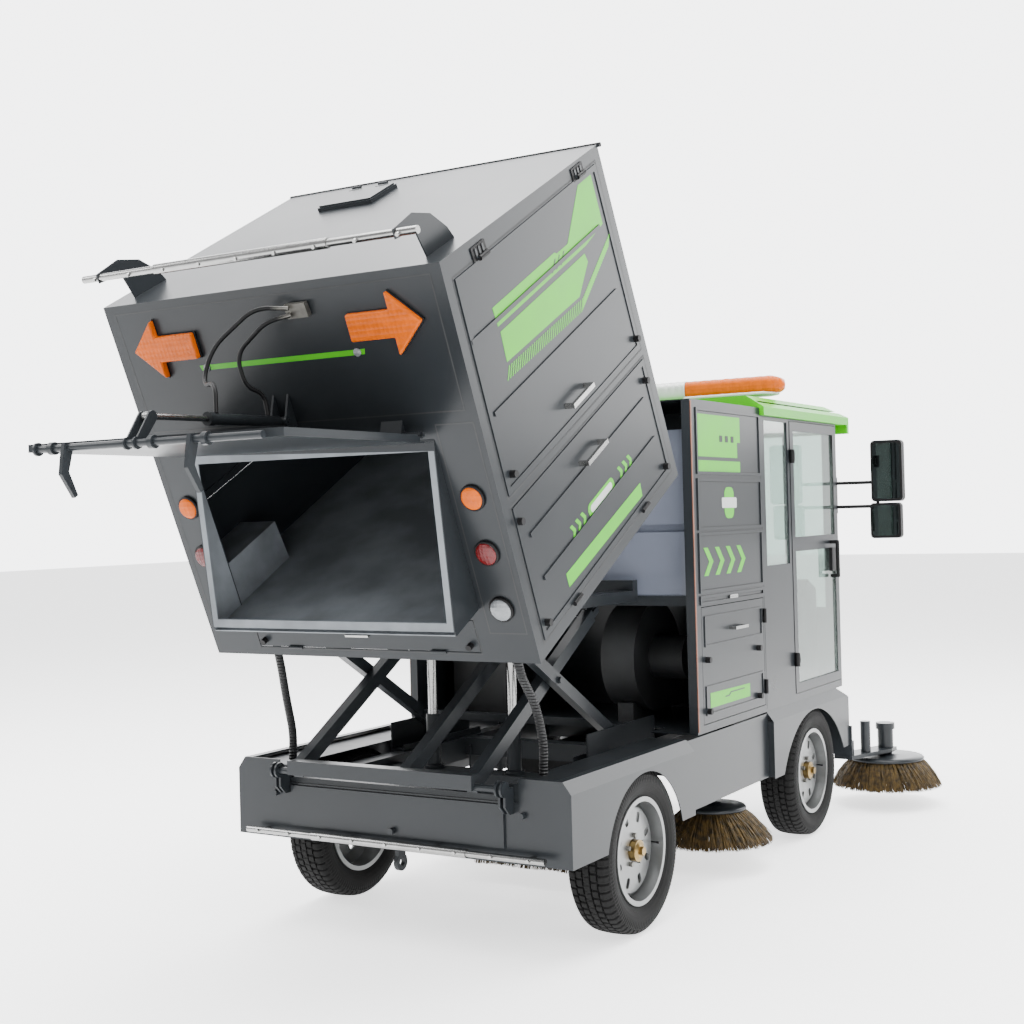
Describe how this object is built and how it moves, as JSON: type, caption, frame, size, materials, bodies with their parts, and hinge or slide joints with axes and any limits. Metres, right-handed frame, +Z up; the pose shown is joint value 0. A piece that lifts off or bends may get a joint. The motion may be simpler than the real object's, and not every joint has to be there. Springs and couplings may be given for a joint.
{
  "type": "ride-on sweeper",
  "caption": "Cab sweeper with a scissor-lifted tipping hopper, hinged discharge door, side doors and rotating side brushes.",
  "frame": {"origin": "centre of the overall box in plan, on the ground under the tyres", "axes": "+Y forward (driving direction), +X the sweeper's right side, +Z up"},
  "size_m": [2.066, 4.5348, 2.7503],
  "materials": {
    "body_grey": "satin",
    "frame_grey": "satin",
    "lime": "gloss",
    "tyre_rubber": "matte",
    "rim_silver": "satin",
    "steel": "brushed",
    "black_plastic": "matte",
    "amber": "gloss",
    "tank": "translucent satin",
    "glass": "gloss",
    "bristle": "bristle",
    "hose_rubber": "matte",
    "seat": "matte",
    "dark_steel": "satin",
    "lens": "clear"
  },
  "bodies": {
    "chassis": {"chassis_frame": "frame_grey", "side_skirts": "body_grey", "rear_apron": "body_grey", "lower_spray_bar": "steel", "module_shell": "body_grey", "cab_shell": "body_grey", "cab_windows": "glass", "roof_cap": "lime", "light_bar": "amber", "water_tank": "tank", "battery_pack": "black_plastic", "hydraulic_unit": "dark_steel", "suction_fan": "dark_steel", "axles": "dark_steel", "driver_seat": "seat", "dash_console": "black_plastic", "headlamps": "lens", "lift_hoses": "hose_rubber"},
    "rear_hinged_arms": {"scissor_arms_rear": "body_grey"},
    "front_hinged_arms": {"scissor_arms_front": "body_grey"},
    "carrier": {"carrier_frame": "body_grey"},
    "rods": {"lift_rods": "steel"},
    "hopper": {"hopper_shell": "body_grey", "hopper_lamps": "amber", "upper_spray_bar": "steel", "hydraulic_hoses": "hose_rubber"},
    "rear_door": {"rear_door": "body_grey"},
    "hooks": {"hook_shaft": "body_grey"},
    "cylinder": {"door_cylinder": "frame_grey"},
    "cylinder_rod": {"door_rod": "steel"},
    "flap": {"rear_flap": "body_grey"},
    "hatch": {"roof_hatch": "body_grey"},
    "upper_door_right": {"upper_door_right": "body_grey"},
    "lower_door_right": {"lower_door_right": "body_grey"},
    "rear_wheel_right": {"tyre_rear_right": "tyre_rubber", "rim_rear_right": "rim_silver"},
    "front_wheel_right": {"tyre_front_right": "tyre_rubber", "rim_front_right": "rim_silver"},
    "knuckle_right": {"knuckle_right": "dark_steel"},
    "brush_arm_right": {"brush_arm_right": "body_grey"},
    "front_brush_right": {"front_brush_right": "bristle"},
    "middle_brush_right": {"middle_brush_right": "bristle"},
    "cab_door_right": {"cab_door_right": "body_grey"},
    "mirror_right": {"mirror_right": "black_plastic"},
    "upper_door_left": {"upper_door_left": "body_grey"},
    "lower_door_left": {"lower_door_left": "body_grey"},
    "rear_wheel_left": {"tyre_rear_left": "tyre_rubber", "rim_rear_left": "rim_silver"},
    "front_wheel_left": {"tyre_front_left": "tyre_rubber", "rim_front_left": "rim_silver"},
    "knuckle_left": {"knuckle_left": "dark_steel"},
    "brush_arm_left": {"brush_arm_left": "body_grey"},
    "front_brush_left": {"front_brush_left": "bristle"},
    "middle_brush_left": {"middle_brush_left": "bristle"},
    "cab_door_left": {"cab_door_left": "body_grey"},
    "mirror_left": {"mirror_left": "black_plastic"},
    "steering_wheel": {"steering_wheel": "black_plastic"},
    "pedal": {"drive_pedal": "black_plastic"},
    "broom": {"main_broom": "bristle"},
    "access_door": {"access_door": "body_grey"}
  },
  "joints": [
    {"name": "lift", "type": "hinge", "parent": "chassis", "child": "rear_hinged_arms", "pos_m": [0, -1.15557, 0.592], "axis": [1, 0, 0], "range_deg": [-22.5, 0], "deforming": ["lift_hoses"]},
    {"name": "arm_cross", "type": "hinge", "parent": "rear_hinged_arms", "child": "front_hinged_arms", "pos_m": [0, -0.65161, 0.89004], "axis": [1, 0, 0], "range_deg": [0, 45]},
    {"name": "carrier_level", "type": "hinge", "parent": "front_hinged_arms", "child": "carrier", "pos_m": [0, -1.02706, 1.11209], "axis": [1, 0, 0], "range_deg": [-22.5, 0]},
    {"name": "lift_rod_slide", "type": "slide", "parent": "chassis", "child": "rods", "axis": [0, 0, 1], "range_m": [-0.378, 0]},
    {"name": "hopper_tip", "type": "hinge", "parent": "carrier", "child": "hopper", "pos_m": [0, -1.27023, 1.25622], "axis": [1, 0, 0], "range_deg": [-29.75, 15.25]},
    {"name": "rear_door_swing", "type": "hinge", "parent": "hopper", "child": "rear_door", "pos_m": [0, -1.55543, 1.72902], "axis": [1, 0, 0], "range_deg": [0, 98], "deforming": ["hydraulic_hoses"]},
    {"name": "hook_turn", "type": "hinge", "parent": "rear_door", "child": "hooks", "pos_m": [0, -2.23743, 1.71052], "axis": [1, 0, 0], "range_deg": [-6, 6]},
    {"name": "door_cylinder_swing", "type": "hinge", "parent": "hopper", "child": "cylinder", "pos_m": [0, -1.59886, 1.79795], "axis": [1, 0, 0], "range_deg": [0, 98]},
    {"name": "door_rod_slide", "type": "slide", "parent": "cylinder", "child": "cylinder_rod", "axis": [0, -0.9999, -0.0164], "range_m": [-0.12, 0.12]},
    {"name": "rear_flap_swing", "type": "hinge", "parent": "hopper", "child": "flap", "pos_m": [0, -1.24097, 1.04258], "axis": [1, 0, 0], "range_deg": [0, 100]},
    {"name": "roof_hatch_swing", "type": "hinge", "parent": "hopper", "child": "hatch", "pos_m": [0, -0.86263, 2.70591], "axis": [-1, 0, 0], "range_deg": [0, 90]},
    {"name": "upper_door_right_swing", "type": "hinge", "parent": "hopper", "child": "upper_door_right", "pos_m": [0.6823, -1.30853, 2.37117], "axis": [0, -0.8682, -0.4962], "range_deg": [0, 100]},
    {"name": "lower_door_right_swing", "type": "hinge", "parent": "hopper", "child": "lower_door_right", "pos_m": [0.6823, -0.72448, 1.3493], "axis": [0, 0.8682, 0.4962], "range_deg": [0, 90]},
    {"name": "rear_wheel_right_spin", "type": "hinge", "parent": "chassis", "child": "rear_wheel_right", "pos_m": [0.6115, -0.57057, 0.29], "axis": [1, 0, 0], "continuous": true},
    {"name": "steer_right", "type": "hinge", "parent": "chassis", "child": "knuckle_right", "pos_m": [0.47, 1.17843, 0.29], "axis": [0, 0, 1], "range_deg": [-25, 25]},
    {"name": "front_wheel_right_spin", "type": "hinge", "parent": "knuckle_right", "child": "front_wheel_right", "pos_m": [0.6115, 1.17843, 0.29], "axis": [1, 0, 0], "continuous": true},
    {"name": "brush_arm_right_lift", "type": "hinge", "parent": "chassis", "child": "brush_arm_right", "pos_m": [0.65, 1.69143, 0.33], "axis": [1, 0, 0], "range_deg": [-8, 14]},
    {"name": "front_brush_right_spin", "type": "hinge", "parent": "brush_arm_right", "child": "front_brush_right", "pos_m": [0.765, 1.99943, 0.222], "axis": [0, 0, 1], "continuous": true},
    {"name": "middle_brush_right_spin", "type": "hinge", "parent": "chassis", "child": "middle_brush_right", "pos_m": [0.52, 0.42443, 0.242], "axis": [0, 0, 1], "continuous": true},
    {"name": "cab_door_right_swing", "type": "hinge", "parent": "chassis", "child": "cab_door_right", "pos_m": [0.683, 1.01943, 1.25], "axis": [0, 0, -1], "range_deg": [0, 75]},
    {"name": "mirror_right_fold", "type": "hinge", "parent": "chassis", "child": "mirror_right", "pos_m": [0.655, 1.65973, 1.538], "axis": [0, 0, 1], "range_deg": [-8, 65]},
    {"name": "upper_door_left_swing", "type": "hinge", "parent": "hopper", "child": "upper_door_left", "pos_m": [-0.6823, -1.30853, 2.37117], "axis": [0, 0.8682, 0.4962], "range_deg": [0, 100]},
    {"name": "lower_door_left_swing", "type": "hinge", "parent": "hopper", "child": "lower_door_left", "pos_m": [-0.6823, -0.72448, 1.3493], "axis": [0, -0.8682, -0.4962], "range_deg": [0, 90]},
    {"name": "rear_wheel_left_spin", "type": "hinge", "parent": "chassis", "child": "rear_wheel_left", "pos_m": [-0.6115, -0.57057, 0.29], "axis": [1, 0, 0], "continuous": true},
    {"name": "steer_left", "type": "hinge", "parent": "chassis", "child": "knuckle_left", "pos_m": [-0.47, 1.17843, 0.29], "axis": [0, 0, 1], "range_deg": [-25, 25]},
    {"name": "front_wheel_left_spin", "type": "hinge", "parent": "knuckle_left", "child": "front_wheel_left", "pos_m": [-0.6115, 1.17843, 0.29], "axis": [1, 0, 0], "continuous": true},
    {"name": "brush_arm_left_lift", "type": "hinge", "parent": "chassis", "child": "brush_arm_left", "pos_m": [-0.65, 1.69143, 0.33], "axis": [1, 0, 0], "range_deg": [-8, 14]},
    {"name": "front_brush_left_spin", "type": "hinge", "parent": "brush_arm_left", "child": "front_brush_left", "pos_m": [-0.765, 1.99943, 0.222], "axis": [0, 0, 1], "continuous": true},
    {"name": "middle_brush_left_spin", "type": "hinge", "parent": "chassis", "child": "middle_brush_left", "pos_m": [-0.52, 0.42443, 0.242], "axis": [0, 0, 1], "continuous": true},
    {"name": "cab_door_left_swing", "type": "hinge", "parent": "chassis", "child": "cab_door_left", "pos_m": [-0.683, 1.01943, 1.25], "axis": [0, 0, 1], "range_deg": [0, 75]},
    {"name": "mirror_left_fold", "type": "hinge", "parent": "chassis", "child": "mirror_left", "pos_m": [-0.655, 1.65973, 1.538], "axis": [0, 0, -1], "range_deg": [-8, 65]},
    {"name": "steering_wheel_turn", "type": "hinge", "parent": "chassis", "child": "steering_wheel", "pos_m": [0.02, 1.38443, 1.21], "axis": [0, -0.5736, 0.8192], "range_deg": [-450, 450]},
    {"name": "pedal_press", "type": "hinge", "parent": "chassis", "child": "pedal", "pos_m": [0.19, 1.45543, 0.78], "axis": [1, 0, 0], "range_deg": [0, 15]},
    {"name": "main_broom_spin", "type": "hinge", "parent": "chassis", "child": "broom", "pos_m": [0, -0.06557, 0.17], "axis": [1, 0, 0], "continuous": true},
    {"name": "access_door_swing", "type": "hinge", "parent": "chassis", "child": "access_door", "pos_m": [0.679, 0.65443, 0.88], "axis": [0, 0, 1], "range_deg": [0, 100]}
  ],
  "couplings": [
    {"joint": "arm_cross", "follows": "lift", "ratio": -2},
    {"joint": "carrier_level", "follows": "lift", "ratio": 1},
    {"joint": "lift_rod_slide", "follows": "lift", "m_per_rad": 0.9575},
    {"joint": "door_cylinder_swing", "follows": "rear_door_swing", "ratio": 0.96},
    {"joint": "door_rod_slide", "follows": "rear_door_swing", "m_per_rad": 0.0524},
    {"joint": "steer_right", "follows": "steering_wheel_turn", "ratio": 0.055556},
    {"joint": "steer_left", "follows": "steering_wheel_turn", "ratio": 0.055556}
  ]
}
